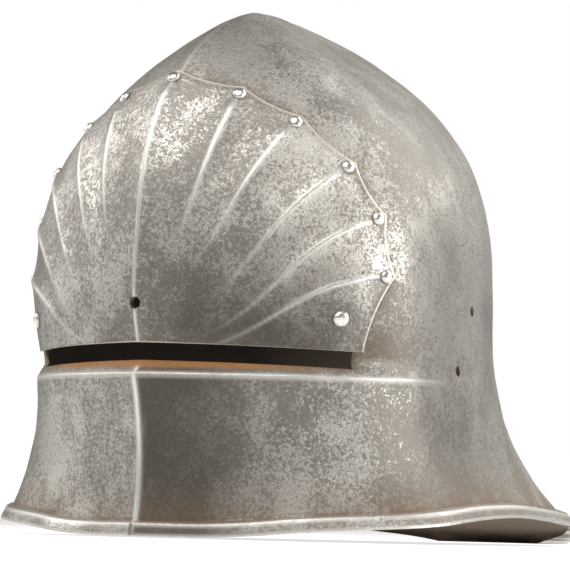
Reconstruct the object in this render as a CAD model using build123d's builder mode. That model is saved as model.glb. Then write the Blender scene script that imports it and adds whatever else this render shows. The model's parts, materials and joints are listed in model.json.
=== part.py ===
"""A sallet: a one-piece helmet with a cut sight, and a fluted brow plate riveted over its front.

Front is -Y, up is +Z, and the wearer's left is +X. The crown axis is the upright line through the
top of the skull, and every reach below is measured from it.
"""

import os
from math import atan2, cos, hypot, radians, sin, tan

from build123d import *

# Overall form of the skull, outside
apex_height = 273.0
girth_height = 118.0
front_reach = 111.9
side_reach = 110.8
back_reach = 167.0
crown_axis_y = -89.1
# How quickly each reach draws in towards the top: exponent of the height, then of the whole
front_draw = (2.7, 0.60)
side_draw = (2.8, 1.05)
back_draw = (4.7, 0.65)
top_flat_drop = 0.8
crown_thickness = 5.0
reach_of_cuts = 400.0

# Front keel and fullness of the outline
keel_crease = 12.5
bevor_crease = 11.0
cheek_fullness = 0.45
temple_fullness = 0.48
round_fullness = 0.5523
widest_ahead = 21.0
bevor_widest_ahead = 17.0

# Sight, the ledge under it, and the deep front below
sight_bottom = 88.0
sight_height = 9.0
sight_end_back = 54.5
sight_fall = 2.5
waist_front = 6.5
waist_side = 0.8
waist_power = 1.2
sight_widest_ahead = 14.0
ledge_out_side = 1.4
ledge_out = 7.5
ledge_drop = 7.0
bevor_hollow = 7.7
bevor_hollow_height = 34.0

# Flare of the sides and tail, and the line of the lower edge
side_flare = 25.5
side_flare_power = 2.2
tail_flare = 118.0
tail_flare_power = 2.3
rim_line = [(-106, 0.0), (-86, 3.0), (-52, 6.6), (-10, 10.4), (67, 13.8), (148, 11.4), (205, 8.8), (248, 4.6), (282, 0.0)]
rim_band_height = 7.5
rim_band_proud = 3.0
rim_split = 2.4

# Sheet thicknesses and fits
skull_wall = 1.8
plate_wall = 1.6
plate_gap = 0.3
shank_clearance = 0.15
head_clearance = 0.15

# Brow plate: each spoke of its fan is an angle from upright, a reach from the keel hole and the
# sweep of its flute, in degrees, all seen square on to one half of the plate
plate_view = 32.0
keel_hole_height = girth_height - 2.4
spokes = [
    (7.5, 116.3, 0),
    (25.0, 117.8, 25),
    (40.2, 121.4, 46),
    (56.1, 126.3, 88),
    (69.5, 128.6, 128),
    (82.7, 126.1, 128),
]
cusp_beyond_rivet = 4.8
scallop_depth = 2.4
lower_corner_across = 114.5
low_rivet = (103.0, -5.7)
flute_height = 1.5
flute_half_width = 7.0
flute_stations = [0.955, 0.85, 0.72, 0.58, 0.44]
flute_root = 0.5

# Rivets
rivet_head_radius = 3.3
rivet_head_height = 2.4
low_rivet_head_radius = 3.9
rivet_shank_radius = 2.0
peened_radius = 2.9
peened_height = 1.0

# Holes
keel_hole_radius = 3.0
lace_hole_radius = 2.75
lace_holes = [(171.9, 119.4), (164.3, 87.8)]

crown_height = apex_height - girth_height
top_of_form = apex_height - top_flat_drop
ledge_height = sight_bottom - ledge_drop
tilt_of_ledge = atan2(ledge_out, ledge_drop)

# Levels that the forms are drawn through: shares of the crown above the girth, and of the deep
# front between the floor and the ledge, whose lowest level lies below the floor
crown_shares = [0, 0.174, 0.335, 0.497, 0.626, 0.735, 0.826, 0.897]
bevor_shares = [0.765, 0.52, 0.30, 0.10, -0.10]
crown_steps = [(sight_bottom + girth_height) / 2]
crown_steps += [girth_height + crown_height * share for share in crown_shares]
bevor_steps = [ledge_height * share for share in bevor_shares]


def drawn_in(height, reach, draw):
    """Reach above the girth: full there, nothing at the apex."""
    rise = (height - girth_height) / crown_height
    return reach * (1 - rise ** draw[0]) ** draw[1]


def below_girth(height):
    """How far down from the girth towards the sight a height lies, 1 being at the sight."""
    return (girth_height - height) / (girth_height - sight_bottom)


def tail_at(height):
    return back_reach + tail_flare * ((girth_height - height) / girth_height) ** tail_flare_power


def crown_reaches(height):
    """Front, side and back reach, and how far ahead of the crown axis the outline is widest."""
    if height >= girth_height:
        side = drawn_in(height, side_reach, side_draw)
        front = drawn_in(height, front_reach, front_draw)
        back = drawn_in(height, back_reach, back_draw)
        return front, side, back, widest_ahead * side / side_reach
    dip = below_girth(height) ** waist_power
    side = side_reach - waist_side * dip
    ahead = widest_ahead + (sight_widest_ahead - widest_ahead) * dip
    return front_reach - waist_front * dip, side, tail_at(height), ahead


def bevor_reaches(height):
    hollow = (height - bevor_hollow_height) / (ledge_height - bevor_hollow_height)
    front = front_reach - waist_front + ledge_out - bevor_hollow * (1 - hollow ** 2)
    flare = ((ledge_height - height) / ledge_height) ** side_flare_power
    side = side_reach - waist_side + ledge_out_side + side_flare * flare
    return front, side, tail_at(height), bevor_widest_ahead


def grown(reaches, height, grow):
    """The reaches at a height, moved out square to the surface by grow."""
    step = 0.05
    here = reaches(height)
    under = reaches(height - step)
    offset = [grow * hypot(1, (a - b) / step) for a, b in zip(here[:3], under[:3])]
    return here[0] + offset[0], here[1] + offset[1], here[2] + offset[2], here[3]


def outline(height, front, side, back, ahead, crease):
    """One level outline: keeled in front, widest at the cheeks, round behind."""
    y_front = crown_axis_y - front
    y_wide = crown_axis_y - ahead
    y_back = crown_axis_y + back
    cheek = cheek_fullness * side
    temple = temple_fullness * (y_wide - y_front)
    with BuildSketch(Plane.XY.offset(height)) as level:
        with BuildLine():
            front_half = Bezier(
                (0, y_front),
                (cheek, y_front + cheek * tan(radians(crease))),
                (side, y_wide - temple),
                (side, y_wide),
            )
            back_half = Bezier(
                (side, y_wide),
                (side, y_wide + round_fullness * (y_back - y_wide)),
                (round_fullness * side, y_back),
                (0, y_back),
            )
            mirror(front_half, about=Plane.YZ)
            mirror(back_half, about=Plane.YZ)
        make_face()
    return level.sketch


def crown_form(grow, heights):
    levels = [outline(height, *grown(crown_reaches, height, grow), keel_crease) for height in heights]
    with BuildPart() as form:
        loft(levels)
    return form.part


def bevor_form(grow, heights):
    levels = [outline(height, *grown(bevor_reaches, height, grow), bevor_crease) for height in heights]
    with BuildPart() as form:
        loft(levels)
    return form.part


def ledge_form(grow, top, bottom):
    """The straight-sided step between the sight's lower lip and the deep front."""
    upper = outline(top, *grown(crown_reaches, top, grow), keel_crease)
    lower = outline(bottom, *grown(bevor_reaches, bottom, grow), bevor_crease)
    with BuildPart() as form:
        loft([lower, upper], ruled=True)
    return form.part


def whole_form(grow, top):
    """Crown, ledge and deep front as one solid, the ledge kept parallel to itself as it grows."""
    shift = grow * tan(tilt_of_ledge / 2)
    lip = sight_bottom + shift
    ledge = lip - ledge_drop
    crown = crown_form(grow, [lip, *crown_steps, top])
    bevor = bevor_form(grow, [ledge, *bevor_steps])
    return crown + ledge_form(grow, lip, ledge) + bevor


def under_line(points, lift):
    """Everything below a line seen from the side, right across the helmet."""
    line = [(crown_axis_y + y, z + lift) for y, z in points]
    deep = -reach_of_cuts
    with BuildPart() as cutter:
        with BuildSketch(Plane.YZ):
            with BuildLine():
                Spline(*line, tangents=[(1, 0), (1, -0.2)])
                ahead = (line[0][0] - reach_of_cuts / 8, line[0][1])
                behind = (line[-1][0] + reach_of_cuts / 8, line[-1][1])
                Polyline(line[-1], behind, (behind[0], deep), (ahead[0], deep), ahead, line[0])
            make_face()
        extrude(amount=reach_of_cuts / 2, both=True)
    return cutter.part


def sight_edge(y):
    """Height of the sight's lower edge at a distance behind (+) or ahead (-) of the crown axis."""
    keel = -(front_reach - waist_front)
    return sight_bottom - 0.2 - sight_fall * (y - keel) / (-sight_end_back - keel)


def sight_cutter(bottom, back):
    """Everything ahead of back, between the sight's upper edge and a rise over its lower one."""
    ahead = -reach_of_cuts / 2
    corners = [(ahead, bottom), (back, bottom), (back, sight_height), (ahead, sight_height)]
    with BuildPart() as cutter:
        with BuildSketch(Plane.YZ):
            with BuildLine():
                Polyline(*[(crown_axis_y + y, sight_edge(y) + rise) for y, rise in corners], close=True)
            make_face()
        extrude(amount=reach_of_cuts / 2, both=True)
    return cutter.part


# The view square on to one half of the plate, with its middle at the keel hole
plate_out = plate_gap + plate_wall
view = radians(plate_view)
half_plate_view = Plane(
    origin=(0, crown_axis_y - front_reach - plate_out, keel_hole_height),
    x_dir=(cos(view), sin(view), 0),
    z_dir=(sin(view), -cos(view), 0),
)


def fan_point(angle, reach):
    return reach * sin(radians(angle)), reach * cos(radians(angle))


def fan_half():
    """Prism of the cusped left half of the plate, seen square on, cut off at the keel."""
    tips = [fan_point(angle, reach + cusp_beyond_rivet) for angle, reach, sweep in spokes]
    tips.append((lower_corner_across, sight_edge(-sight_end_back) + sight_height - keel_hole_height))
    far = -reach_of_cuts / 8
    with BuildPart() as prism:
        with BuildSketch(half_plate_view):
            with BuildLine():
                for start, end in zip(tips, tips[1:]):
                    chord = Vector(*end) - Vector(*start)
                    inward = Vector(-chord.Y, chord.X).normalized() * -scallop_depth
                    middle = (Vector(*start) + Vector(*end)) / 2 + inward
                    ThreePointArc(start, middle, end)
                Polyline(tips[-1], (tips[-1][0], far), (far, far), (far, tips[0][1]), tips[0])
            make_face()
        extrude(amount=reach_of_cuts / 4, both=True)
        split(bisect_by=Plane.YZ, keep=Keep.TOP)
    return prism.part


def on_surface(form, across, up):
    """Where the square-on sight line through (across, up) first meets a form, and the way out there."""
    start = half_plate_view.from_local_coords((across, up, reach_of_cuts / 2))
    meets = form.find_intersection_points(Axis(start, -half_plate_view.z_dir))
    point, normal = min(meets, key=lambda meet: (meet[0] - start).length)
    return Plane(origin=point, z_dir=normal)


def flute(form, angle, reach, sweep):
    """A raised crease that starts at a rivet and swings down as it fades towards the keel hole."""
    places = []
    for share in flute_stations:
        across, up = fan_point(angle + sweep * (1 - share) ** 3, reach * share)
        places.append(on_surface(form, across, up))
    sections = []
    for number, place in enumerate(places):
        before = places[max(number - 1, 0)].origin
        after = places[min(number + 1, len(places) - 1)].origin
        along = after - before
        side = place.z_dir.cross(along).normalized()
        fade = (len(places) - number) / len(places)
        height = flute_height * fade
        half = flute_half_width * (0.4 + 0.6 * fade)
        with BuildSketch(Plane(origin=place.origin, x_dir=side, z_dir=side.cross(place.z_dir))) as section:
            with BuildLine():
                Polyline((-half, -flute_root), (half, -flute_root), (0, height), close=True)
            make_face()
        sections.append(section.sketch)
    with BuildPart() as ridge:
        loft(sections)
    return ridge.part


def keel_place(height, grow):
    """A point on the keel at a height, with the way straight out of it."""
    step = 0.05
    here = grown(crown_reaches, height, grow)[0]
    slope = (here - grown(crown_reaches, height - step, grow)[0]) / step
    return Plane(origin=(0, crown_axis_y - here, height), z_dir=(0, -1, -slope))


def drill(place, radius, depth):
    """A round tool along a place's own axis, from clear outside down to a depth below it."""
    clear = 4 * rivet_head_height
    with BuildPart() as tool:
        with BuildSketch(place.offset(-depth)):
            Circle(radius)
        extrude(amount=depth + clear)
    return tool.part


def rivet(place, head_radius, seat_depth):
    """Domed head outside, shank, and a low peened end inside."""
    profile_plane = Plane(origin=place.origin, x_dir=place.x_dir, z_dir=-place.y_dir)
    brim = head_clearance + rivet_head_height / 6
    crest = head_clearance + rivet_head_height
    end = -seat_depth - peened_height
    with BuildPart() as fastener:
        with BuildSketch(profile_plane):
            with BuildLine():
                Polyline(
                    (0, end),
                    (0, crest),
                )
                Bezier((0, crest), (head_radius * 0.6, crest), (head_radius, crest * 0.8), (head_radius, brim))
                Polyline(
                    (head_radius, brim),
                    (head_radius, head_clearance),
                    (rivet_shank_radius, head_clearance),
                    (rivet_shank_radius, -seat_depth),
                    (peened_radius, -seat_depth),
                )
                Bezier((peened_radius, -seat_depth), (peened_radius, end), (peened_radius * 0.5, end), (0, end))
            make_face()
        revolve(axis=Axis(place.origin, place.z_dir))
    return fastener.part


# Forms and places
outer = whole_form(0, top_of_form)
inner = whole_form(-skull_wall, apex_height - crown_thickness)
plate_steps = [sight_bottom, *crown_steps, top_of_form]
plate_skin = crown_form(plate_out, plate_steps)
plate_core = crown_form(plate_gap, plate_steps)

across, up = fan_point(*spokes[0][:2])
keel_rivet_place = keel_place(keel_hole_height + up, plate_out)
side_rivet_places = {}
for number, (angle, reach, sweep) in enumerate(spokes[1:], start=1):
    side_rivet_places[f"rivet_{number}"] = on_surface(plate_skin, *fan_point(angle, reach))
side_rivet_places["low_rivet"] = on_surface(plate_skin, *low_rivet)
keel_hole_place = keel_place(keel_hole_height, plate_out)
lace_places = [on_surface(outer, across, height - keel_hole_height) for across, height in lace_holes]

drill_past = 6.0
through = plate_out + skull_wall + drill_past
one_side = [drill(place, rivet_shank_radius + shank_clearance, through) for place in side_rivet_places.values()]
one_side += [drill(place, lace_hole_radius, skull_wall + drill_past) for place in lace_places]
both_sides = one_side + [tool.mirror(Plane.YZ) for tool in one_side]
both_sides.append(drill(keel_rivet_place, rivet_shank_radius + shank_clearance, through))
both_sides.append(drill(keel_hole_place, keel_hole_radius, through))

# Skull
band = bevor_form(rim_band_proud, bevor_steps[1:]) & under_line(rim_line, rim_band_height)
with BuildPart() as rim_split_tool:
    with BuildSketch(Plane.XY.offset(-1)):
        with Locations((0, crown_axis_y - front_reach - rim_band_proud)):
            Rectangle(rim_split, 4 * rim_band_proud)
    extrude(amount=rim_band_height + 3)
with BuildPart() as skull:
    add(outer)
    add(band - rim_split_tool.part)
    add(inner, mode=Mode.SUBTRACT)
    add(under_line(rim_line, 0), mode=Mode.SUBTRACT)
    add(sight_cutter(0, -sight_end_back), mode=Mode.SUBTRACT)
    add(both_sides, mode=Mode.SUBTRACT)
skull.part.label = "skull"

# Brow plate
with BuildPart() as half_plate:
    add(plate_skin)
    for angle, reach, sweep in spokes[1:]:
        add(flute(plate_skin, angle, reach, sweep))
    add(plate_core, mode=Mode.SUBTRACT)
    add(fan_half(), mode=Mode.INTERSECT)
    split(bisect_by=Plane.XZ.offset(-crown_axis_y + 10), keep=Keep.TOP)
below_plate = sight_cutter(-2 * sight_height, 0)
with BuildPart() as brow_plate:
    add(half_plate.part)
    mirror(about=Plane.YZ)
    add(below_plate, mode=Mode.SUBTRACT)
    add(both_sides, mode=Mode.SUBTRACT)
brow_plate.part.label = "brow_plate"

# Rivets
seat_depth = plate_out + skull_wall + head_clearance
pieces = {"skull": skull.part, "brow_plate": brow_plate.part}
keel_seat = seat_depth + peened_radius * tan(radians(keel_crease)) + head_clearance
pieces["keel_rivet"] = rivet(keel_rivet_place, rivet_head_radius, keel_seat)
for name, place in side_rivet_places.items():
    head = low_rivet_head_radius if name == "low_rivet" else rivet_head_radius
    left = rivet(place, head, seat_depth + head_clearance)
    pieces[f"left_{name}"] = left
    pieces[f"right_{name}"] = left.mirror(Plane.YZ)

os.makedirs("parts", exist_ok=True)
for name, piece in pieces.items():
    piece.label = name
    export_step(piece, f"parts/{name}.step")
    print(name, len(piece.solids()), round(piece.volume, 1))
box = Compound(children=list(pieces.values())).bounding_box()
print("whole", box)
for place in [keel_hole_place, *lace_places]:
    print("hole at", place.origin, "axis", place.z_dir)
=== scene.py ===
# %% [markdown]
# # A sallet with a fluted brow plate
#
# This lesson builds an old steel helmet around its CAD model. The skull and the brow plate are finer
# meshes laid on the CAD surfaces, so no dimension changes, and the rivets are newly turned heads standing
# where the CAD rivets stand. Most of the lesson is about making worn, pitted steel that follows the shape:
# bright where hands and cloths have rubbed it, dark and brown where they never reach, with painted
# highlights on some edges and crests and painted shade in clouds on some faces.

# %% Load the frame
import json
from math import atan2, cos, degrees, exp, hypot, pi, radians, sin

import bmesh
import bpy
from mathutils import Matrix, Vector, noise
from mathutils.bvhtree import BVHTree
from mathutils.kdtree import KDTree


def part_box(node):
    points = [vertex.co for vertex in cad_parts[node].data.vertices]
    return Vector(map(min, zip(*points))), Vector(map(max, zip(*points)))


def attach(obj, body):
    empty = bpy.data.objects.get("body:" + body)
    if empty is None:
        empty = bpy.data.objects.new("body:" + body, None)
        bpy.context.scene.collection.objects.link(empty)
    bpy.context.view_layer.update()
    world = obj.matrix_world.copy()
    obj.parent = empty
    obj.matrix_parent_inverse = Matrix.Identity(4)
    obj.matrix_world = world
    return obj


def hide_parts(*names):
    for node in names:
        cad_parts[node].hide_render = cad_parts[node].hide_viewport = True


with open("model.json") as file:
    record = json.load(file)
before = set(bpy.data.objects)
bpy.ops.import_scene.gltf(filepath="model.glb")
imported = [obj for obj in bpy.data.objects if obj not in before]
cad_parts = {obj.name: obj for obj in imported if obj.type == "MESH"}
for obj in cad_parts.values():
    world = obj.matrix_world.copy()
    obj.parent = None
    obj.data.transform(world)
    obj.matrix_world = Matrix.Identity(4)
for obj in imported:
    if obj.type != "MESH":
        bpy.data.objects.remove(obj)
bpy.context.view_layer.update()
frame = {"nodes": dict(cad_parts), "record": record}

MM = 0.001
UP = Vector((0, 0, 1))
rivet_names = [name for name in frame["nodes"] if name.endswith("rivet") or "_rivet_" in name]

# %% [markdown]
# ## Reading the CAD surfaces
#
# A CAD mesh is loose triangles of very uneven size, which shade badly up close. A tree for casting rays,
# made from them, answers the one question that a new mesh needs: where is the surface, seen from here? It
# is made on a merged copy, so the CAD mesh itself stays untouched.

# %% Ray casting on the skull
skull_low, skull_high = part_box("skull")
FAR = 0.5


def surface_tree(node):
    """A tree for casting rays, from a merged copy of a CAD node's mesh."""
    copy = bmesh.new()
    copy.from_mesh(frame["nodes"][node].data)
    bmesh.ops.remove_doubles(copy, verts=copy.verts, dist=1e-6)
    tree = BVHTree.FromBMesh(copy)
    copy.free()
    return tree


skull_tree = surface_tree("skull")


def outside_at(centre, direction):
    """Where the outer surface is met on the way in towards a centre, or None in a hole."""
    point, normal, _, _ = skull_tree.ray_cast(centre + direction * FAR, -direction, FAR)
    if point is None or normal.dot(direction) < 0.2:
        return None
    return point


def inside_at(centre, direction):
    """Where the inner surface is met on the way out from a centre, or None in a hole."""
    point, normal, _, _ = skull_tree.ray_cast(centre, direction, FAR)
    if point is None or normal.dot(direction) > -0.2:
        return None
    return point


def level(turn):
    """A level direction: 0 is the way the wearer faces, 90 degrees the wearer's left."""
    return Vector((sin(turn), -cos(turn), 0))


print("skull", tuple(round(v, 4) for v in skull_low), tuple(round(v, 4) for v in skull_high))

# %% [markdown]
# ## The skull's grid
#
# The real skull was raised from one sheet, so it starts here as one sheet too: a flat grid whose columns
# become lines from the rim up to the crown and whose rows become its levels. Each vertex is then laid on
# the CAD surface by a ray. Rows and columns are packed closely where the form turns sharply, at the keel,
# the sight, the ledge and the rim, and are wide apart on the plain crown. A subdivided cage could give the
# same shape, but not edge loops that run exactly along the sight, so that the opening can be cut cleanly.

# %% Columns: turns around the helmet, close together at the keel
GIRTH = 0.118
SIGHT = 0.0915
MIDDLE_Y = (skull_low.y + 0.078) / 2
KEEL_TURNS = [0.0, 0.12, 0.33, 0.37, 0.7, 1.2, 1.9, 2.8, 3.9, 5.1]
TURN_STEP = 1.35


def middle(height):
    """The middle of the outline at a height. It moves back where the tail is drawn out."""
    fall = max(0.0, 1 - height / 0.085)
    return Vector((0, MIDDLE_Y * (1 - fall * fall), height))


def last_true(holds, start, end, tries=22):
    """The last place on the way from start to end where something still holds, by halving."""
    for _ in range(tries):
        centre = (start + end) / 2
        if holds(centre):
            start = centre
        else:
            end = centre
    return start


sight_end = last_true(lambda turn: outside_at(middle(SIGHT), level(turn)) is None, radians(20), radians(90))
even = round((180 - KEEL_TURNS[-1]) / TURN_STEP)
half_turns = KEEL_TURNS + [
    KEEL_TURNS[-1] + (180 - KEEL_TURNS[-1]) * (k + 1) / even for k in range(even)
]
end_column = min(range(len(half_turns)), key=lambda k: abs(half_turns[k] - degrees(sight_end)))
half_turns[end_column] = degrees(sight_end)
turns = [-radians(t) for t in reversed(half_turns[1:])] + [radians(t) for t in half_turns]
print("sight ends at", round(degrees(sight_end), 2), "degrees,", len(turns), "columns")

# %% [markdown]
# The rows need heights of their own in every column: the sight falls a little towards its ends, the ledge
# below it is a crisp step, and the rim rises at the sides and comes down again to the tail. Each of these
# lines is found on the CAD surface instead of being typed in again.

# %% Rows: how high each column's lines are
BAND = 0.0075


def sight_line(turn, side):
    """The height of the sight's upper (+1) or lower (-1) edge at a turn."""
    turn = min(abs(turn), sight_end * 0.99)
    return last_true(lambda z: outside_at(middle(z), level(turn)) is None, SIGHT, SIGHT + side * 0.012)


def ledge_line(turn):
    """The height where the front stands out furthest below the sight."""
    heights = [0.0855 - k * 0.00025 for k in range(30)]
    reach = {}
    for height in heights:
        point = outside_at(middle(height), level(turn))
        reach[height] = -1 if point is None else hypot(point.x, point.y - middle(height).y)
    return max(heights, key=lambda z: reach[z] - 0.12 * abs(z - 0.081))


def rim_line(turn):
    """The height of the lower edge at a turn."""
    start = 0.016 if abs(turn) > radians(40) else 0.012
    return last_true(lambda z: outside_at(middle(z), level(turn)) is not None, start, -0.001)


def without_spikes(values):
    """A line of values round the helmet, each replaced by the middle one of itself and its neighbours."""
    return [sorted((values[k - 1], values[k], values[(k + 1) % len(values)]))[1] for k in range(len(values))]


def evened(values, rounds):
    """A line of values round the helmet, each drawn towards its neighbours a few times."""
    for _ in range(rounds):
        values = [
            (values[k - 1] + 2 * values[k] + values[(k + 1) % len(values)]) / 4 for k in range(len(values))
        ]
    return values


sight_tops = [sight_line(turn, 1) for turn in turns]
sight_feet = [sight_line(turn, -1) for turn in turns]
ledge = evened([ledge_line(turn) if abs(turn) < radians(100) else 0.081 for turn in turns], 3)
rim = without_spikes(without_spikes([rim_line(turn) for turn in turns]))
print("sight", round(min(sight_feet), 4), round(max(sight_tops), 4), "ledge", round(min(ledge), 4))
print("rim", round(min(rim), 4), "to", round(max(rim), 4))

# %% One column of the grid: centre, direction and how far to draw in, from the rim up
# Heights above the rim of the turned band's rows, and how far its rounded edges are drawn in
BAND_ROWS = [(0.0001, 0.0009), (0.0004, 0.0004), (0.001, 0.0001), (0.0022, 0), (0.0042, 0), (0.0058, 0)]
BAND_TOP = [(0.0067, 0.0002), (0.0072, 0.0006), (0.0075, 0.0014)]
LOWER_ROWS, LEDGE_ROWS, SIGHT_ROWS, BROW_ROWS, DOME_ROWS = 40, 6, 4, 9, 66


def column(k):
    """What each vertex of a column is cast from: a list of (centre, direction, drawn in)."""
    way = level(turns[k])
    foot = rim[k]
    casts = [(foot + max(up, 0.0003), inset) for up, inset in BAND_ROWS]
    casts += [(foot + min(up, 0.0070), inset) for up, inset in BAND_TOP]
    start, end = foot + BAND + 0.0003, ledge[k] - 0.0006
    casts += [(start + (end - start) * (n / LOWER_ROWS) ** 1.3, 0) for n in range(LOWER_ROWS)]
    casts += [(ledge[k] + lift, 0) for lift in (-0.0006, -0.0002, 0.0001, 0.0004)]
    start, end = ledge[k] + 0.0009, sight_feet[k] - 0.00003
    casts += [(start + (end - start) * n / LEDGE_ROWS, 0) for n in range(LEDGE_ROWS + 1)]
    start, end = sight_feet[k], sight_tops[k]
    casts += [(start + (end - start) * n / SIGHT_ROWS, 0) for n in range(1, SIGHT_ROWS)]
    start, end = sight_tops[k] + 0.00003, GIRTH
    casts += [(start + (end - start) * n / BROW_ROWS, 0) for n in range(BROW_ROWS)]
    rows = [(middle(height), way, inset) for height, inset in casts]
    for n in range(DOME_ROWS + 1):
        lift = pi / 2 * n / DOME_ROWS
        rows.append((middle(GIRTH), way * cos(lift) + UP * sin(lift), 0))
    return rows


column_casts = [column(k) for k in range(len(turns))]
ROWS, COLUMNS = len(column_casts[0]), len(turns)
FIRST_SIGHT_ROW = len(BAND_ROWS) + len(BAND_TOP) + LOWER_ROWS + 4 + LEDGE_ROWS
LAST_SIGHT_ROW = FIRST_SIGHT_ROW + SIGHT_ROWS
BAND_END = len(BAND_ROWS) + len(BAND_TOP)
print(ROWS, "rows; the sight lies between rows", FIRST_SIGHT_ROW, "and", LAST_SIGHT_ROW)

# %% Cast every vertex, and close the small holes from their neighbours
def cast_all(meet):
    """Every grid place on a surface, and how many lay in a hole and were filled in from around it."""
    places = [[None] * COLUMNS for _ in range(ROWS)]
    for k, casts in enumerate(column_casts):
        for row, (centre, way, inset) in enumerate(casts):
            point = meet(centre, way)
            if point is not None and meet is outside_at:
                point = point - way * inset
            places[row][k] = point
    empty = [(row, k) for row in range(ROWS) for k in range(COLUMNS) if places[row][k] is None]
    for row, k in empty:
        centre, way, _ = column_casts[k][row]
        below = next((places[r][k] for r in range(row, -1, -1) if places[r][k] is not None), None)
        above = next((places[r][k] for r in range(row, ROWS) if places[r][k] is not None), None)
        reach = [(p - centre).dot(way) for p in (below, above) if p is not None]
        places[row][k] = centre + way * (sum(reach) / len(reach))
    for _ in range(40):
        for row, k in empty:
            around = [places[row][k - 1], places[row][(k + 1) % COLUMNS]]
            if 0 < row < ROWS - 1:
                around += [places[row - 1][k], places[row + 1][k]]
            centre, way, _ = column_casts[k][row]
            reach = sum((p - centre).dot(way) for p in around) / len(around)
            places[row][k] = centre + way * reach
    return places, len(empty)


outer_places, outer_filled = cast_all(outside_at)
inner_places, inner_filled = cast_all(inside_at)
print("filled in", outer_filled, "outer and", inner_filled, "inner places")

# %% Make the two sheets
def grid_sheet(places, outward):
    """A bmesh grid whose vertices are laid on a list of rows of places."""
    sheet = bmesh.new()
    rows, columns = len(places), len(places[0])
    bmesh.ops.create_grid(sheet, x_segments=columns - 1, y_segments=rows - 1, size=1)
    sheet.verts.ensure_lookup_table()
    for row in range(rows):
        for k in range(columns):
            sheet.verts[row * columns + k].co = places[row][k]
    if not outward:
        bmesh.ops.reverse_faces(sheet, faces=sheet.faces)
    return sheet


# %% [markdown]
# The grid's faces across the sight are removed from both sheets, and the two sheets are joined at the
# sight and at the rim. Each vertex gets its marks while rows and columns still have numbers: how rubbed
# and painted bright, how browned, how orange and how much painted shade it has travels with it into the
# material.

# %% Wear, painted highlights, browning, orange and painted shade of each grid place
def near(distance, width):
    """1 at no distance, falling smoothly to 0 within about twice the width."""
    return exp(-((distance / width) ** 2))


def keel_wear(place):
    """Bright line along the keel, faint on the crown, strong on the deep front."""
    if place.y > MIDDLE_Y:
        return 0.0
    strength = 0.35 if place.z > SIGHT else 0.85
    return strength * near(place.x, 0.0011 if place.z > SIGHT else 0.0014)


def ease(value, start, end):
    """0 before start, 1 after end, and a straight slope between."""
    return min(1.0, max(0.0, (value - start) / (end - start)))


def painted_shade_of(place):
    """Painted shade in darker clouds: on the deep front beside the keel, low on the brow, and on each temple.
    """
    turn = abs(degrees(atan2(place.x, MIDDLE_Y - place.y)))
    temple = 0.42 * near(turn - 80, 17) * (1 - ease(place.z, 0.15, 0.21))
    if place.y > MIDDLE_Y:
        return temple
    if place.z < SIGHT:
        return max(temple, ease(place.x, 0.0002, 0.0016) * (1 - ease(place.x, 0.032, 0.066)))
    low = 1 - ease(place.z, 0.106, 0.158)
    return max(temple, low * (0.3 + 0.7 * ease(place.x, 0.0, 0.03)) * (1 - ease(place.x, 0.080, 0.108)))


def marks(row, k, place):
    """How rubbed and painted bright, browned, orange and painted in shade a place on the outside is."""
    turn = abs(degrees(turns[k]))
    ledge_highlight_fade = 1 - ease(turn, 50, 84)
    above_ledge = place.z - ledge[k]
    above_rim = place.z - rim[k]
    # The keel line is rubbed bright; the ledge's edge gets a painted highlight along the step, fading towards
    # the sides
    wear_and_highlight = max(keel_wear(place), 0.6 * ledge_highlight_fade * near(above_ledge, 0.0010))
    if row < BAND_END:
        edges = near(above_rim - 0.0062, 0.0012), near(above_rim - 0.0006, 0.0009)
        wear_and_highlight = max(wear_and_highlight, 0.5 * edges[0], 0.6 * edges[1])
        brown = 0.15
    else:
        over_band = max(0.0, above_rim - BAND)
        brown = max(0.8 * near(over_band, 0.0035), 0.5 * near(over_band, 0.013))
    # The ledge's upper face under the sight is tinted orange and browner; the orange fades out past the
    # sight's ends, weakens towards the sides and more on the wearer's right
    orange_tint = 0.0
    if BAND_END + LOWER_ROWS + 3 <= row <= LAST_SIGHT_ROW:
        past_sight = ease(turn, degrees(sight_end) - 2, degrees(sight_end) + 4)
        lip = ease(above_ledge, 0.0022, 0.0042) * (1 - past_sight)
        brown = max(brown, 0.7 * lip)
        orange_tint = lip * (1 - 0.85 * ease(turn, 24, 44)) * (1 - 0.5 * ease(-turns[k], 0.3, 0.9))
    return wear_and_highlight, brown, orange_tint, painted_shade_of(place)


# Layers: wear with painted highlights, browning, orange, painted shade, the inside painted dark as shade, and
# painted daylight on the tail's inside
LAYERS = ("wear_and_highlight", "brown", "orange_tint", "painted_shade", "inside", "tail")


def mark_sheet(sheet, values):
    """Keep a row of numbers on each vertex, one number to a named layer."""
    layers = [sheet.verts.layers.float.new(name) for name in LAYERS]
    for vert, row in zip(sheet.verts, values):
        for layer, value in zip(layers, row):
            vert[layer] = value


# %% Join the two sheets into the skull
def hammered(place, depth):
    """The slow unevenness that a hammer leaves, about as deep as asked."""
    slow = noise.noise(place * 38) + 0.5 * noise.noise(place * 85 + Vector((3, 1, 4)))
    return depth * slow


skull_outer = grid_sheet(outer_places, True)
skull_outer.verts.ensure_lookup_table()
plain_rows = range(LAST_SIGHT_ROW + 2, ROWS)
plain = [
    skull_outer.verts[row * COLUMNS + k]
    for row in plain_rows
    for k in range(1, COLUMNS - 1)
    if abs(turns[k]) > radians(1.1)
]
for _ in range(4):
    bmesh.ops.smooth_vert(
        skull_outer, verts=plain, factor=0.5, use_axis_x=True, use_axis_y=True, use_axis_z=True
    )
smooth_outer = [
    [skull_outer.verts[row * COLUMNS + k].co.copy() for k in range(COLUMNS)] for row in range(ROWS)
]
skull_outer.normal_update()
normals = [
    [skull_outer.verts[row * COLUMNS + k].normal.copy() for k in range(COLUMNS)] for row in range(ROWS)
]

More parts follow.
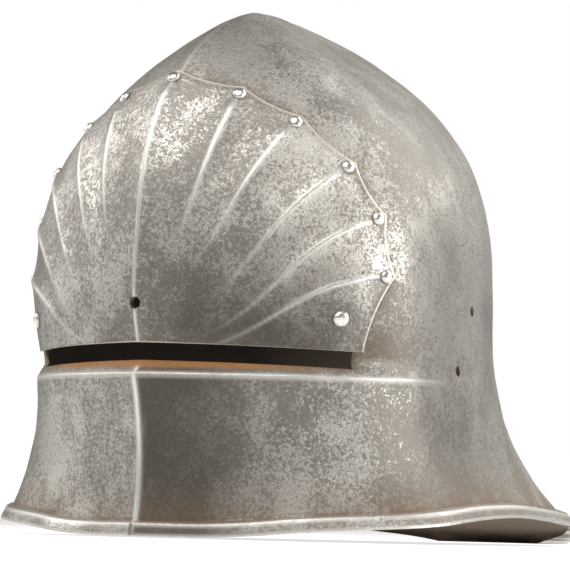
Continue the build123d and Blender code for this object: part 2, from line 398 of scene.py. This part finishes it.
# The unevenness fades out at the sight, the rim and the keel, which stay true
for row in range(ROWS):
    for k in range(COLUMNS):
        vert = skull_outer.verts[row * COLUMNS + k]
        place = smooth_outer[row][k]
        calm = near(place.z - 0.0885, 0.010) + near(place.z - rim[k], 0.010) + near(place.x, 0.004)
        vert.co = place + normals[row][k] * hammered(place, 0.00045) * max(0.0, 1 - calm)
print("outer sheet", len(skull_outer.faces), "faces")

# %% Cut the sight out of a sheet
def cut_sight(sheet):
    sheet.faces.ensure_lookup_table()
    middle_column = COLUMNS // 2
    gone = [
        sheet.faces[row * (COLUMNS - 1) + k]
        for row in range(FIRST_SIGHT_ROW, LAST_SIGHT_ROW)
        for k in range(middle_column - end_column, middle_column + end_column)
    ]
    bmesh.ops.delete(sheet, geom=gone, context="FACES")


def close_seam(sheet):
    """Merge the grid's two ends at the back, and its top row at the apex."""
    bmesh.ops.remove_doubles(sheet, verts=sheet.verts, dist=2e-6)


skull_inner = grid_sheet(inner_places, False)
outer_marks = [
    marks(row, k, place) + (0.0, 0.0)
    for row, places in enumerate(smooth_outer)
    for k, place in enumerate(places)
]
mark_sheet(skull_outer, outer_marks)
# The inside is painted in shade, near black, but for the tail, which is painted lighter where open daylight
# reaches it
TAIL_START, TAIL_FULL = 0.03, 0.10
inner_marks = [
    (0.0, 0.9, 0.15, 0.0, 1.0, ease(place.y, TAIL_START, TAIL_FULL))
    for places in inner_places
    for place in places
]
mark_sheet(skull_inner, inner_marks)
number = skull_outer.verts.layers.int.new("number")
for n, vert in enumerate(skull_outer.verts):
    vert[number] = n
for sheet in (skull_outer, skull_inner):
    cut_sight(sheet)
    close_seam(sheet)

# The sheet's thickness at the sight and the rim: the outer sheet's open edges, drawn in to the inner one
open_edges = [edge for edge in skull_outer.edges if edge.is_boundary]
drawn = bmesh.ops.extrude_edge_only(skull_outer, edges=open_edges)
for vert in drawn["geom"]:
    if isinstance(vert, bmesh.types.BMVert):
        vert.co = inner_places[vert[number] // COLUMNS][vert[number] % COLUMNS]
skull_outer.verts.layers.int.remove(number)
joined = bmesh.new()
for sheet in (skull_outer, skull_inner):
    kept = bpy.data.meshes.new("sheet")
    sheet.to_mesh(kept)
    joined.from_mesh(kept)
    bpy.data.meshes.remove(kept)
    sheet.free()
open_verts = [vert for vert in joined.verts if vert.is_boundary]
bmesh.ops.remove_doubles(joined, verts=open_verts, dist=2e-6)
bmesh.ops.holes_fill(joined, edges=[edge for edge in joined.edges if edge.is_boundary], sides=0)
square = [
    edge
    for edge in joined.edges
    if len(edge.link_faces) == 2 and edge.verts[0].co.z < GIRTH and edge.calc_face_angle(0) > radians(58)
]
bmesh.ops.bevel(
    joined, geom=square, offset=0.0003, offset_type="OFFSET", segments=2, profile=0.5, affect="EDGES",
    material=-1, clamp_overlap=True,
)
print("skull volume", joined.calc_volume(signed=True), "from", len(joined.verts), "vertices")
print(len(square), "edges rounded, open edges", sum(edge.is_boundary for edge in joined.edges))


# %% [markdown]
# ## The brow plate's outline
#
# The plate is a fan: its cusps stand behind the rivets, and its flutes run from the cusps down towards the
# hole in the keel. Seen square on to one half, the fan is a flat drawing, so it is drawn flat here, in
# millimetres across and up from the keel hole, and then cast straight back on to the helmet.

# %% The drawing board, square on to the left half
BOARD_TURN = radians(32)
SHEET_GAP = 0.0003
PLATE = 0.0016
STAND_OFF = SHEET_GAP + PLATE
CUSP = 0.0048
SCALLOP = 0.0022
board_out = level(BOARD_TURN)
board_across = Vector((cos(BOARD_TURN), sin(BOARD_TURN), 0))
hole_mount = next(mount for mount in frame["record"]["mounts"] if mount["name"] == "keel_hole")
GIRTH_ROW = LAST_SIGHT_ROW + BROW_ROWS
keel_hole = Vector((0, smooth_outer[GIRTH_ROW][COLUMNS // 2].y - STAND_OFF, hole_mount["pos_m"][2]))


def on_board(place):
    """Across and up on the drawing board."""
    away = place - keel_hole
    return away.dot(board_across), away.z


# A skin just outside the skull, on which the plate's outer face lies
skin = bmesh.new()
bmesh.ops.create_grid(skin, x_segments=COLUMNS - 1, y_segments=ROWS - 1, size=1)
skin.verts.ensure_lookup_table()
for row in range(ROWS):
    for k in range(COLUMNS):
        way = normals[row][k]
        if row <= LAST_SIGHT_ROW + 1:
            way = normals[LAST_SIGHT_ROW + 2][k]
        skin.verts[row * COLUMNS + k].co = smooth_outer[max(row, LAST_SIGHT_ROW)][k] + way * STAND_OFF
        if row < LAST_SIGHT_ROW:
            skin.verts[row * COLUMNS + k].co.z -= 0.001 * (LAST_SIGHT_ROW - row)
skin.normal_update()
skin_tree = BVHTree.FromBMesh(skin)
skin.free()


def keel_at(height):
    """The plate's keel at a height."""
    point, _, _, _ = skin_tree.ray_cast(Vector((0.00001, -1, height)), Vector((0, 1, 0)), 2)
    return Vector((0, point.y, height))


LOWEST_KEEL = 0.085
keel_across = [on_board(keel_at(LOWEST_KEEL + MM * n))[0] for n in range(175)]


def keel_shift(up):
    """How far across the board the keel lies at a height."""
    n = min(173.0, max(0.0, (up + keel_hole.z - LOWEST_KEEL) / MM))
    low = int(n)
    return keel_across[low] + (keel_across[low + 1] - keel_across[low]) * (n - low)


# %% Rivets: where they stand, from the CAD rivets
def rivet_place(name):
    """Foot of a rivet's head on the plate's face, and the way it points."""
    mesh = frame["nodes"][name].data
    centre = sum((v.co for v in mesh.vertices), Vector()) / len(mesh.vertices)
    hit, way, _, _ = skin_tree.find_nearest(centre)
    if way.dot(centre - middle(GIRTH)) < 0:
        way = -way
    if name.startswith("keel"):
        way = Vector((0, way.y, way.z)).normalized()
        hit.x = 0
    return hit, way


rivet_places = {name: rivet_place(name) for name in rivet_names}
left_spokes = ["keel_rivet"] + [f"left_rivet_{n}" for n in range(1, 6)]
spokes = []
for name in left_spokes:
    across, up = on_board(rivet_places[name][0])
    spokes.append((atan2(across, up), hypot(across, up)))
print("spokes", [(round(degrees(a), 1), round(r, 4)) for a, r in spokes])

# %% The outline: cusps and scallops, then back along the sight
def at_spoke(angle, reach):
    return Vector((reach * sin(angle), reach * cos(angle)))


tips = [at_spoke(angle, reach + CUSP) for angle, reach in spokes]
tips[0].x = keel_shift(tips[0].y)
brow_edge = [
    on_board(smooth_outer[LAST_SIGHT_ROW][k] + normals[LAST_SIGHT_ROW + 2][k] * STAND_OFF)
    for k in range(COLUMNS // 2, COLUMNS // 2 + end_column + 3)
]
corner = Vector((0.1145, brow_edge[-3][1]))
tips.append(corner)
edge_points = []
for start, end in zip(tips, tips[1:]):
    chord = end - start
    inward = Vector((chord.y, -chord.x)).normalized() * SCALLOP
    steps = max(4, round(chord.length / 0.0013))
    for n in range(steps):
        share = n / steps
        edge_points.append(start + chord * share + inward * (4 * share * (1 - share)))
edge_points.append(corner)
lower = [Vector(p) for p in brow_edge if p[0] < 0.1135]
run = [corner] + lower[::-1]
for start, end in zip(run, run[1:]):
    steps = max(1, round((end - start).length / 0.0013))
    edge_points += [start + (end - start) * (n + 1) / steps for n in range(steps)]
edge_points[-1].x = keel_shift(edge_points[-1].y)
print(len(edge_points), "points along the plate's edge")
# %% [markdown]
# ## The plate's flutes
#
# Between the rivets the plate is pressed into shallow hollows that meet in raised creases. The creases
# start at the rivets and swing down as they fade towards the keel hole. A number from 0 to 1 across each
# hollow, raised to a power, gives a hollow with a sharp crest on each side.

# %% Relief of the plate
START = hole_mount["dims"]["r_mm"] * MM
SWEEPS = [0, 25, 46, 88, 128, 128]
FLUTE = 0.0022
CREASE = 0.0011
LAST_FALL = 0.006
RINGS = 58


def crest_angles(reach):
    """The angles of the creases at a reach from the keel hole."""
    return [
        angle + radians(sweep) * max(0.0, 1 - reach / full) ** 3
        for (angle, full), sweep in zip(spokes, SWEEPS)
    ]


def relief(across, up):
    """Height of the plate over its skin, nearness to a crease, and depth in a hollow."""
    reach = hypot(across, up)
    angle = atan2(across, up)
    crests = crest_angles(reach)
    crests[0] = atan2(keel_shift(up), max(up, 0.001))
    full = sum(length for _, length in spokes) / len(spokes)
    for (_, before), (_, after), low, high in zip(spokes, spokes[1:], crests, crests[1:]):
        if low <= angle <= high:
            full = before + (after - before) * (angle - low) / (high - low)
    share = reach / full
    strength = min(1.0, max(0.0, (share - 0.28) / 0.5)) ** 1.1
    strength *= min(1.0, max(0.0, (0.99 - share) / 0.07))
    if angle <= crests[0]:
        return 0.0, 0.0, 0.0
    for n in range(len(crests) - 1):
        if crests[n] <= angle <= crests[n + 1]:
            f = (angle - crests[n]) / (crests[n + 1] - crests[n])
            width = (crests[n + 1] - crests[n]) * reach
            ridge = abs(2 * f - 1) ** 2.4
            to_crest = min(f if n > 0 else 1, 1 - f) * width
            return FLUTE * strength * ridge, strength * near(to_crest, CREASE), strength * (1 - ridge)
    beyond = (angle - crests[-1]) * reach
    ridge = exp(-beyond / LAST_FALL)
    return FLUTE * strength * ridge, strength * near(beyond, CREASE), 0.0


# %% Lay the plate
def plate_column(point):
    """Board places from the keel hole out to one point of the edge."""
    end = Vector((point.x - keel_shift(point.y), point.y))
    way = end.normalized()
    rows = []
    for n in range(RINGS + 1):
        share = 1 - (1 - n / RINGS) ** 1.15
        away = way * (START + (end.length - START) * share)
        rows.append((away.x, away.y, share))
    return rows


def lay(aside, up):
    """A place on the plate's skin from board coordinates measured from the keel."""
    if aside < 0.00002:
        return keel_at(keel_hole.z + up)
    across = aside + keel_shift(up)
    start = keel_hole + board_across * across + UP * up + board_out * 0.3
    hit, _, _, _ = skin_tree.ray_cast(start, -board_out, 1)
    return hit


plate_columns = [plate_column(point) for point in edge_points]
half = [[lay(x, y) for x, y, _ in rows] for rows in plate_columns]
missed = sum(place is None for rows in half for place in rows)
print("plate places missed", missed)

HALF = len(edge_points)
plate_rows, plate_marks, plate_lift = [], [], []
for ring in range(RINGS, -1, -1):
    row, lifts = [], []
    for side, order in ((-1, range(HALF - 1, -1, -1)), (1, range(1, HALF))):
        for n in order:
            place = half[n][ring].copy()
            place.x *= side
            row.append(place)
            aside, up, share = plate_columns[n][ring]
            lift, crest, hollow = relief(aside + keel_shift(up), up)
            edge = hypot(*(Vector(plate_columns[n][-1][:2]) - Vector((aside, up))))
            # The keel line is rubbed bright; the creases and the border get painted highlights over their
            # rubbing; painted shade comes in clouds as on the skull
            wear_and_highlight = max(0.8 * crest, 0.6 * near(edge, 0.0005), 0.7 * near(place.x, 0.0009))
            brown = max(0.45 * near(edge - 0.0016, 0.0012), 0.10 * hollow)
            plate_marks.append((wear_and_highlight, brown, 0.0, painted_shade_of(place), 0.0, 0.0))
            lifts.append(lift * min(1.0, edge / 0.002 + 0.55))
    plate_rows.append(row)
    plate_lift.append(lifts)
plate = grid_sheet(plate_rows, True)
plate.normal_update()
mark_sheet(plate, plate_marks)
plate.verts.ensure_lookup_table()
plate.faces.ensure_lookup_table()
sample = plate.faces[len(plate.faces) // 4]
outward = sample.normal.dot(sample.calc_center_median() - middle(GIRTH)) > 0
print("plate faces outwards", outward)
if not outward:
    bmesh.ops.reverse_faces(plate, faces=plate.faces)
    plate.normal_update()
every_lift = [lift for lifts in plate_lift for lift in lifts]
for vert, lift in zip(plate.verts, every_lift):
    vert.co += vert.normal * (lift + hammered(vert.co, 0.00025))
close_seam(plate)
bmesh.ops.solidify(plate, geom=plate.faces[:] + plate.edges[:] + plate.verts[:], thickness=PLATE)
bmesh.ops.recalc_face_normals(plate, faces=plate.faces)
print("plate volume", plate.calc_volume(signed=True))
square = [edge for edge in plate.edges if len(edge.link_faces) == 2 and edge.calc_face_angle(0) > radians(60)]
bmesh.ops.bevel(
    plate, geom=square, offset=0.00035, offset_type="OFFSET", segments=2, profile=0.5, affect="EDGES",
    material=-1, clamp_overlap=True,
)
print(len(square), "edges rounded, open edges", sum(edge.is_boundary for edge in plate.edges))
# %% [markdown]
# ## Stains round the plate
#
# Damp sits longest in the joint between two sheets, so the skull is darkest in a narrow line along the
# plate's edge and browner for a finger's width beyond it. A tree of points along that edge gives every
# vertex of the skull its distance.

# %% Brown the skull along the plate's edge
def board_place(point):
    return lay(max(0.0, point.x - keel_shift(point.y)), point.y)


edge_places = [board_place(point) for point in edge_points if point.y > -0.021]
edge_tree = KDTree(len(edge_places))
for n, place in enumerate(edge_places):
    edge_tree.insert(place, n)
edge_tree.balance()
brown_layer = joined.verts.layers.float["brown"]
inside_layer = joined.verts.layers.float["inside"]
corner_place = board_place(corner)
for vert in joined.verts:
    if vert[inside_layer] > 0.5 or vert.co.z < SIGHT or vert.co.y > 0.02:
        continue
    place = Vector((abs(vert.co.x), vert.co.y, vert.co.z))
    _, _, away = edge_tree.find(place)
    line = 0.9 * near(max(0.0, away - 0.0012), 0.0016)
    halo = 0.35 * near(away, 0.008)
    behind = 0.5 * near((place - corner_place).length, 0.022)
    vert[brown_layer] = max(vert[brown_layer], line, halo, behind)
print("stained along", len(edge_places), "points")

# %% [markdown]
# ## Finished pieces and their holes
#
# The laces of the lining go through two holes on each side, and a hole in the keel goes through plate and
# skull together. They are bored last, with plain drills, once the sheets have their thickness. A boolean
# suits this: the drill is exact, and the sheets are closed solids by now.

# %% From bmesh to a finished piece
def make_object(name, mesh):
    """A smooth shaded object at the origin from a finished bmesh."""
    data = bpy.data.meshes.new(name)
    mesh.to_mesh(data)
    mesh.free()
    data.shade_smooth()
    made = bpy.data.objects.new(name, data)
    bpy.context.scene.collection.objects.link(made)
    return made


def settle(piece, nodes, material):
    """Let a piece stand for its CAD nodes, with its material and slot."""
    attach(piece, "root")
    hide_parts(*nodes)
    piece.data.materials.clear()
    piece.data.materials.append(material)
    print(piece.name, sum(len(face.vertices) - 2 for face in piece.data.polygons), "triangles")


# %% Drills for the holes
def drills():
    """One mesh of round cutters along the record's bores."""
    tools = bmesh.new()
    for mount in frame["record"]["mounts"]:
        way = Vector(mount["axis"])
        radius = mount["dims"]["r_mm"] * MM
        place = Matrix.Translation(Vector(mount["pos_m"])) @ way.to_track_quat("Z", "Y").to_matrix().to_4x4()
        bmesh.ops.create_cone(
            tools, cap_ends=True, segments=40, radius1=radius, radius2=radius, depth=0.014, matrix=place
        )
    return make_object("drills", tools)


def bore(piece, cutter):
    """Cut the drills out of a piece for good."""
    cut = piece.modifiers.new("holes", "BOOLEAN")
    cut.operation = "DIFFERENCE"
    cut.solver = "EXACT"
    cut.object = cutter
    ready = piece.evaluated_get(bpy.context.evaluated_depsgraph_get())
    bored = bpy.data.meshes.new_from_object(ready)
    piece.modifiers.clear()
    bored.set_sharp_from_angle(angle=radians(60))
    piece.data = bored


def brown_bores(mesh):
    """Brown the walls of the holes, where no cloth reaches."""
    brown = mesh.attributes["brown"].data
    for mount in frame["record"]["mounts"]:
        axis, centre = Vector(mount["axis"]), Vector(mount["pos_m"])
        radius = mount["dims"]["r_mm"] * MM
        for vert, mark in zip(mesh.vertices, brown):
            away = vert.co - centre
            along = away.dot(axis)
            if abs(along) < 0.007 and abs((away - axis * along).length - radius) < 0.0001:
                mark.value = 1.0


skull = make_object("skull_shell", joined)
brow = make_object("fluted_brow_plate", plate)
cutter = drills()
before = len(skull.data.polygons)
bore(skull, cutter)
bpy.data.objects.remove(cutter)
brown_bores(skull.data)
print("skull bored:", before, "to", len(skull.data.polygons), "faces")

# %% [markdown]
# ## Rivets
#
# Each rivet is a turned shape: a low dome outside, a shank through both sheets and a small peened end
# inside. So it is a half profile spun round its axis. The heads were set by hand, so each one is pressed
# a little differently by a slow noise before it is stood in its place.

# %% Spin one rivet
HEAD = (0.0034, 0.0025)
LOW_HEAD = (0.0042, 0.0024)
SHANK = 0.002
SKULL_WALL = 0.0018


def rivet_mesh(head, height, seed):
    """A rivet standing on its own foot at z 0, as a bmesh."""
    end = -(STAND_OFF + SKULL_WALL)
    dome = [(head * sin(t), height * (0.12 + 0.88 * cos(t))) for t in [pi / 2 * n / 7 for n in range(8)]]
    foot = [(head, 0.0), (SHANK, -0.0001), (SHANK, end), (0.0029, end - 0.0002), (0.0026, end - 0.0009)]
    profile = dome + foot + [(0.0, end - 0.0012)]
    turned = bmesh.new()
    verts = [turned.verts.new((r, 0, z)) for r, z in profile]
    line = [turned.edges.new(pair) for pair in zip(verts, verts[1:])]
    bmesh.ops.spin(
        turned, geom=verts + line, cent=(0, 0, 0), axis=(0, 0, 1), angle=2 * pi, steps=28, use_merge=True
    )
    bmesh.ops.remove_doubles(turned, verts=turned.verts, dist=1e-6)
    bmesh.ops.recalc_face_normals(turned, faces=turned.faces)
    wear_and_highlight = turned.verts.layers.float.new("wear_and_highlight")
    brown = turned.verts.layers.float.new("brown")
    shift = Vector((seed * 1.7, seed * 0.9, 5))
    for vert in turned.verts:
        vert[wear_and_highlight] = min(1.0, max(0.0, vert.co.z / height * 1.6 - 0.3))
        vert[brown] = 0.9 * near(max(0.0, vert.co.z), 0.0007)
        if vert.co.z > 0.0002:
            vert.co += vert.co.normalized() * 0.00022 * noise.noise(vert.co * 420 + shift)
    return turned


# %% Stand the rivets in their places
def stand_rivet(number, name):
    foot, way = rivet_places[name]
    size = LOW_HEAD if "low" in name else HEAD
    turned = rivet_mesh(*size, number)
    place = Matrix.Translation(foot - way * 0.0001) @ way.to_track_quat("Z", "Y").to_matrix().to_4x4()
    bmesh.ops.transform(turned, matrix=place, verts=turned.verts)
    return make_object(f"{name}_head", turned)


rivets = {name: stand_rivet(number, name) for number, name in enumerate(rivet_names)}
print(len(rivets), "rivets standing")
# %% [markdown]
# ## Old steel
#
# Steel that has been cleaned for centuries isn't one grey. Fine rust pits stay dark, because a cloth can't
# reach into them, and they gather in patches. Crests and edges are rubbed bright, and some of them carry a
# painted highlight too. Browning lies where two sheets meet, and clouds of painted shade darken some
# faces. Both steels and the rivets need the same effect, so it is one node group that gives back
# colours and masks, and each material places it with its own values in front of its own shader.

# %% Small helpers for node trees
def add_node(tree, kind, values=(), **settings):
    """A node with its settings, and with values on some of its inputs."""
    made = tree.nodes.new(kind)
    for key, value in settings.items():
        setattr(made, key, value)
    for key, value in dict(values).items():
        made.inputs[key].default_value = value
    return made


def blend_colour(tree, amount, first, second):
    """Mix two colours, each a socket or a colour, by a socket or a number."""
    mix = add_node(tree, "ShaderNodeMix", data_type="RGBA")
    for socket, value in ((mix.inputs[0], amount), (mix.inputs[6], first), (mix.inputs[7], second)):
        if isinstance(value, bpy.types.NodeSocket):
            tree.links.new(value, socket)
        else:
            socket.default_value = value
    return mix.outputs[2]


def sums(tree, operation, first, second, clamp=False):
    """One step of arithmetic on sockets or numbers."""
    step = add_node(tree, "ShaderNodeMath", operation=operation, use_clamp=clamp)
    for socket, value in zip(step.inputs, (first, second)):
        if isinstance(value, bpy.types.NodeSocket):
            tree.links.new(value, socket)
        else:
            socket.default_value = value
    return step.outputs[0]


def between(tree, value, low, high, to_low=0.0, to_high=1.0):
    """A value stretched smoothly from one range to another."""
    ramp = add_node(
        tree,
        "ShaderNodeMapRange",
        {"From Min": low, "From Max": high, "To Min": to_low, "To Max": to_high},
        interpolation_type="SMOOTHSTEP",
    )
    tree.links.new(value, ramp.inputs["Value"])
    return ramp.outputs["Result"]


# %% The shared effect: pitting, rubbing with painted highlights, browning and painted shade
def old_steel_group():
    group = bpy.data.node_groups.new("old_steel", "ShaderNodeTree")
    # The darker steel colour serves both random tarnish and painted shade; the bright colour serves both
    # rubbing and painted highlights
    for name, kind, value in (
        ("Steel", "NodeSocketColor", (0.5, 0.48, 0.45, 1)),
        ("Pitted", "NodeSocketColor", (0.080, 0.068, 0.056, 1)),
        ("Dull Steel And Shade", "NodeSocketColor", (0.105, 0.094, 0.079, 1)),
        ("Polished And Highlit", "NodeSocketColor", (0.80, 0.78, 0.74, 1)),
        ("Browned", "NodeSocketColor", (0.14, 0.085, 0.045, 1)),
        ("Pitting", "NodeSocketFloat", 0.5),
        ("Wear And Highlight", "NodeSocketFloat", 0.0),
        ("Brown", "NodeSocketFloat", 0.0),
        ("Painted Shade", "NodeSocketFloat", 0.0),
    ):
        group.interface.new_socket(name, in_out="INPUT", socket_type=kind).default_value = value
    for name, kind in (
        ("Color", "NodeSocketColor"),
        ("Roughness", "NodeSocketFloat"),
        ("Metallic", "NodeSocketFloat"),
        ("Height", "NodeSocketFloat"),
    ):
        group.interface.new_socket(name, in_out="OUTPUT", socket_type=kind)
    given = add_node(group, "NodeGroupInput").outputs
    result = add_node(group, "NodeGroupOutput").inputs
    place = add_node(group, "ShaderNodeTexCoord").outputs["Object"]

    def grain(scale, detail, rough, distortion=0.0):
        made = add_node(
            group,
            "ShaderNodeTexNoise",
            {"Scale": scale, "Detail": detail, "Roughness": rough, "Distortion": distortion},
        )
        group.links.new(place, made.inputs["Vector"])
        return made.outputs["Fac"]

    cloud = grain(11, 3, 0.55)
    patch = grain(48, 6, 0.62, 0.4)
    mottle = grain(560, 5, 0.70, 0.5)
    speck = grain(1400, 3, 0.6)

    # Pits gather in patches: the patches lower the level above which the fine noise counts as a pit
    wide = sums(group, "MULTIPLY", between(group, cloud, 0.3, 0.7), 0.45)
    close = sums(group, "MULTIPLY", between(group, patch, 0.35, 0.68), 0.55)
    gather = sums(group, "ADD", wide, close)
    gather = sums(group, "MULTIPLY", gather, given["Pitting"])
    patches = between(group, sums(group, "ADD", mottle, sums(group, "MULTIPLY", gather, 0.21)), 0.49, 0.68)
    specks = between(group, sums(group, "ADD", speck, sums(group, "MULTIPLY", gather, 0.15)), 0.54, 0.67)
    # Rubbing and painted highlights share one mask and one bright colour
    polish_and_highlight = sums(group, "MULTIPLY", given["Wear And Highlight"], between(group, mottle, 0.25, 0.55, 0.55, 1.0), clamp=True)
    kept = sums(group, "SUBTRACT", 1.0, sums(group, "MULTIPLY", polish_and_highlight, 0.85), clamp=True)
    patches = sums(group, "MULTIPLY", patches, 0.66)
    specks = sums(group, "MULTIPLY", specks, 0.62)
    pits = sums(group, "MULTIPLY", sums(group, "MAXIMUM", patches, specks), kept)
    browned = sums(group, "MULTIPLY", given["Brown"], between(group, patch, 0.25, 0.6, 0.55, 1.0), clamp=True)

    drift = sums(group, "MULTIPLY", between(group, cloud, 0.35, 0.65), 0.35)
    steel = blend_colour(group, drift, given["Steel"], given["Dull Steel And Shade"])
    # Painted shade: clouds of the darker colour where the mesh asks for shade
    uneven = between(group, patch, 0.2, 0.6, 0.70, 0.95)
    shade_clouds = sums(group, "MULTIPLY", given["Painted Shade"], uneven, clamp=True)
    steel = blend_colour(group, shade_clouds, steel, given["Dull Steel And Shade"])
    colour = blend_colour(group, pits, steel, given["Pitted"])
    colour = blend_colour(group, browned, colour, given["Browned"])
    colour = blend_colour(group, polish_and_highlight, colour, given["Polished And Highlit"])
    group.links.new(colour, result["Color"])
    rough = sums(group, "ADD", 0.34, sums(group, "MULTIPLY", pits, 0.30))
    rough = sums(group, "ADD", rough, sums(group, "MULTIPLY", browned, 0.2))
    rough = sums(group, "SUBTRACT", rough, sums(group, "MULTIPLY", polish_and_highlight, 0.08))
    group.links.new(rough, result["Roughness"])
    metal = sums(group, "SUBTRACT", 1.0, sums(group, "MULTIPLY", browned, 0.6))
    metal = sums(group, "SUBTRACT", metal, sums(group, "MULTIPLY", pits, 0.25), clamp=True)
    group.links.new(metal, result["Metallic"])
    deep = sums(group, "SUBTRACT", sums(group, "MULTIPLY", mottle, 0.35), sums(group, "MULTIPLY", pits, 0.8))
    group.links.new(deep, result["Height"])
    return group


OLD_STEEL = old_steel_group()


# %% Steel materials
def from_mesh(tree, name):
    """A number that each vertex carries."""
    return add_node(tree, "ShaderNodeAttribute", attribute_name=name).outputs["Fac"]


def steel_material(name, steel, pitting, bump, inside=False):
    """Metal whose colour, gloss and height come from the old steel group."""
    material = bpy.data.materials.new(name)
    material.use_nodes = True
    tree = material.node_tree
    shader = tree.nodes["Principled BSDF"]
    effect = add_node(tree, "ShaderNodeGroup", node_tree=OLD_STEEL)
    effect.inputs["Steel"].default_value = steel
    effect.inputs["Pitting"].default_value = pitting
    # From the mesh: rubbing with painted highlights, browning, and painted shade
    tree.links.new(from_mesh(tree, "wear_and_highlight"), effect.inputs["Wear And Highlight"])
    tree.links.new(from_mesh(tree, "brown"), effect.inputs["Brown"])
    tree.links.new(from_mesh(tree, "painted_shade"), effect.inputs["Painted Shade"])
    colour, rough, metal = (effect.outputs[key] for key in ("Color", "Roughness", "Metallic"))
    if inside:
        # The ledge's lip is tinted orange; the inside is painted near black as shade and lighter on the tail
        # as painted daylight, and both lose most of their metal and gloss
        orange_tint, inside_shade = from_mesh(tree, "orange_tint"), from_mesh(tree, "inside")
        colour = blend_colour(tree, orange_tint, colour, (0.30, 0.14, 0.045, 1))
        deep = blend_colour(tree, from_mesh(tree, "tail"), (0.026, 0.016, 0.009, 1), (0.25, 0.19, 0.14, 1))
        colour = blend_colour(tree, inside_shade, colour, deep)
        orange_and_inside_shade = sums(tree, "MAXIMUM", orange_tint, inside_shade)
        bare = sums(tree, "SUBTRACT", 1.0, sums(tree, "MULTIPLY", orange_and_inside_shade, 0.9))
        metal = sums(tree, "MULTIPLY", metal, bare)
        rough = sums(tree, "MAXIMUM", rough, sums(tree, "MULTIPLY", orange_and_inside_shade, 0.75))
    tree.links.new(colour, shader.inputs["Base Color"])
    tree.links.new(rough, shader.inputs["Roughness"])
    tree.links.new(metal, shader.inputs["Metallic"])
    relief_node = add_node(tree, "ShaderNodeBump", {"Strength": bump, "Distance": 0.0004})
    tree.links.new(effect.outputs["Height"], relief_node.inputs["Height"])
    tree.links.new(relief_node.outputs["Normal"], shader.inputs["Normal"])
    return material


skull_steel = steel_material("skull_old_steel", (0.53, 0.508, 0.465, 1), 0.95, 0.60, inside=True)
plate_steel = steel_material("plate_old_steel", (0.63, 0.605, 0.555, 1), 0.95, 0.60)
rivet_steel = steel_material("rivet_bright_steel", (0.66, 0.64, 0.60, 1), 0.15, 0.25)
settle(skull, ["skull"], skull_steel)
settle(brow, ["brow_plate"], plate_steel)
for name, rivet in rivets.items():
    settle(rivet, [name], rivet_steel)

# %% [markdown]
# ## Studio
#
# Steel looks like whatever it reflects. A few large soft lights give long gentle highlights, and the room
# between them is dimmer than the white that the camera sees behind the helmet, so the form stays readable.

# %% Floor, room and lights
def floor():
    ground = bmesh.new()
    bmesh.ops.create_grid(ground, x_segments=1, y_segments=1, size=6)
    made = make_object("floor", ground)
    made.location.z = -0.0005
    paper = bpy.data.materials.new("paper")
    paper.use_nodes = True
    paper.node_tree.nodes["Principled BSDF"].inputs["Base Color"].default_value = (0.35, 0.35, 0.35, 1)
    paper.node_tree.nodes["Principled BSDF"].inputs["Roughness"].default_value = 0.8
    paper.node_tree.nodes["Principled BSDF"].inputs["Emission Color"].default_value = (1, 1, 1, 1)
    paper.node_tree.nodes["Principled BSDF"].inputs["Emission Strength"].default_value = 0.7
    made.data.materials.append(paper)


def room(seen, lit):
    """A room that looks white to the camera and lights the helmet more dimly."""
    world = bpy.data.worlds.new("studio")
    bpy.context.scene.world = world
    world.use_nodes = True
    tree = world.node_tree
    dim = tree.nodes["Background"]
    dim.inputs["Color"].default_value = (1.0, 0.985, 0.96, 1)
    dim.inputs["Strength"].default_value = lit
    bright = add_node(tree, "ShaderNodeBackground", {"Color": (1, 1, 1, 1), "Strength": seen})
    choose = add_node(tree, "ShaderNodeMixShader")
    ray = add_node(tree, "ShaderNodeLightPath")
    tree.links.new(ray.outputs["Is Camera Ray"], choose.inputs[0])
    tree.links.new(dim.outputs[0], choose.inputs[1])
    tree.links.new(bright.outputs[0], choose.inputs[2])
    tree.links.new(choose.outputs[0], tree.nodes["World Output"].inputs["Surface"])


def soft_light(name, turn, lift, distance, size, power, colour=(1, 0.99, 0.97)):
    """A large soft light, placed by turn and lift round the helmet and aimed at it."""
    data = bpy.data.lights.new(name, "AREA")
    data.shape = "RECTANGLE"
    data.size, data.size_y = size
    data.energy = power
    data.color = colour
    light = bpy.data.objects.new(name, data)
    way = level(radians(turn)) * cos(radians(lift)) + UP * sin(radians(lift))
    light.location = middle(GIRTH) + way * distance
    light.rotation_euler = way.to_track_quat("Z", "Y").to_euler()
    bpy.context.scene.collection.objects.link(light)


floor()
room(1.0, 0.14)
soft_light("top", 0, 54, 1.6, (1.7, 1.5), 27)
soft_light("right", 100, 7, 1.5, (1.0, 1.2), 24)
soft_light("back_right", 150, 38, 1.5, (1.1, 1.0), 16)
soft_light("left", -80, 24, 1.6, (0.8, 1.0), 10)
bpy.context.scene.view_settings.view_transform = "Standard"

# %% [markdown]
# ## Camera
#
# A long lens from a little over two metres away, just above the floor and turned slightly about its own
# axis, as hand-set product cameras often are.

# %% Set up the camera
def camera(turn, lift, roll, distance, target, lens, shift):
    data = bpy.data.cameras.new("camera")
    data.lens = lens
    data.sensor_width = 36
    data.shift_x, data.shift_y = shift
    data.clip_end = 60
    back = level(turn) * cos(lift) + UP * sin(lift)
    right = Vector((cos(turn), sin(turn), 0))
    upward = back.cross(right)
    right, upward = right * cos(roll) + upward * sin(roll), upward * cos(roll) - right * sin(roll)
    made = bpy.data.objects.new("camera", data)
    frame_of = Matrix((right, upward, back)).transposed().to_4x4()
    made.matrix_world = Matrix.Translation(target + back * distance) @ frame_of
    bpy.context.scene.collection.objects.link(made)
    bpy.context.scene.camera = made
    print("camera at", tuple(round(v, 3) for v in made.matrix_world.translation))


camera(radians(32.0), radians(-3.0), radians(1.45), 2.3, Vector((0, -0.0891, 0.130)), 280.4, (0.0517, 0.004))
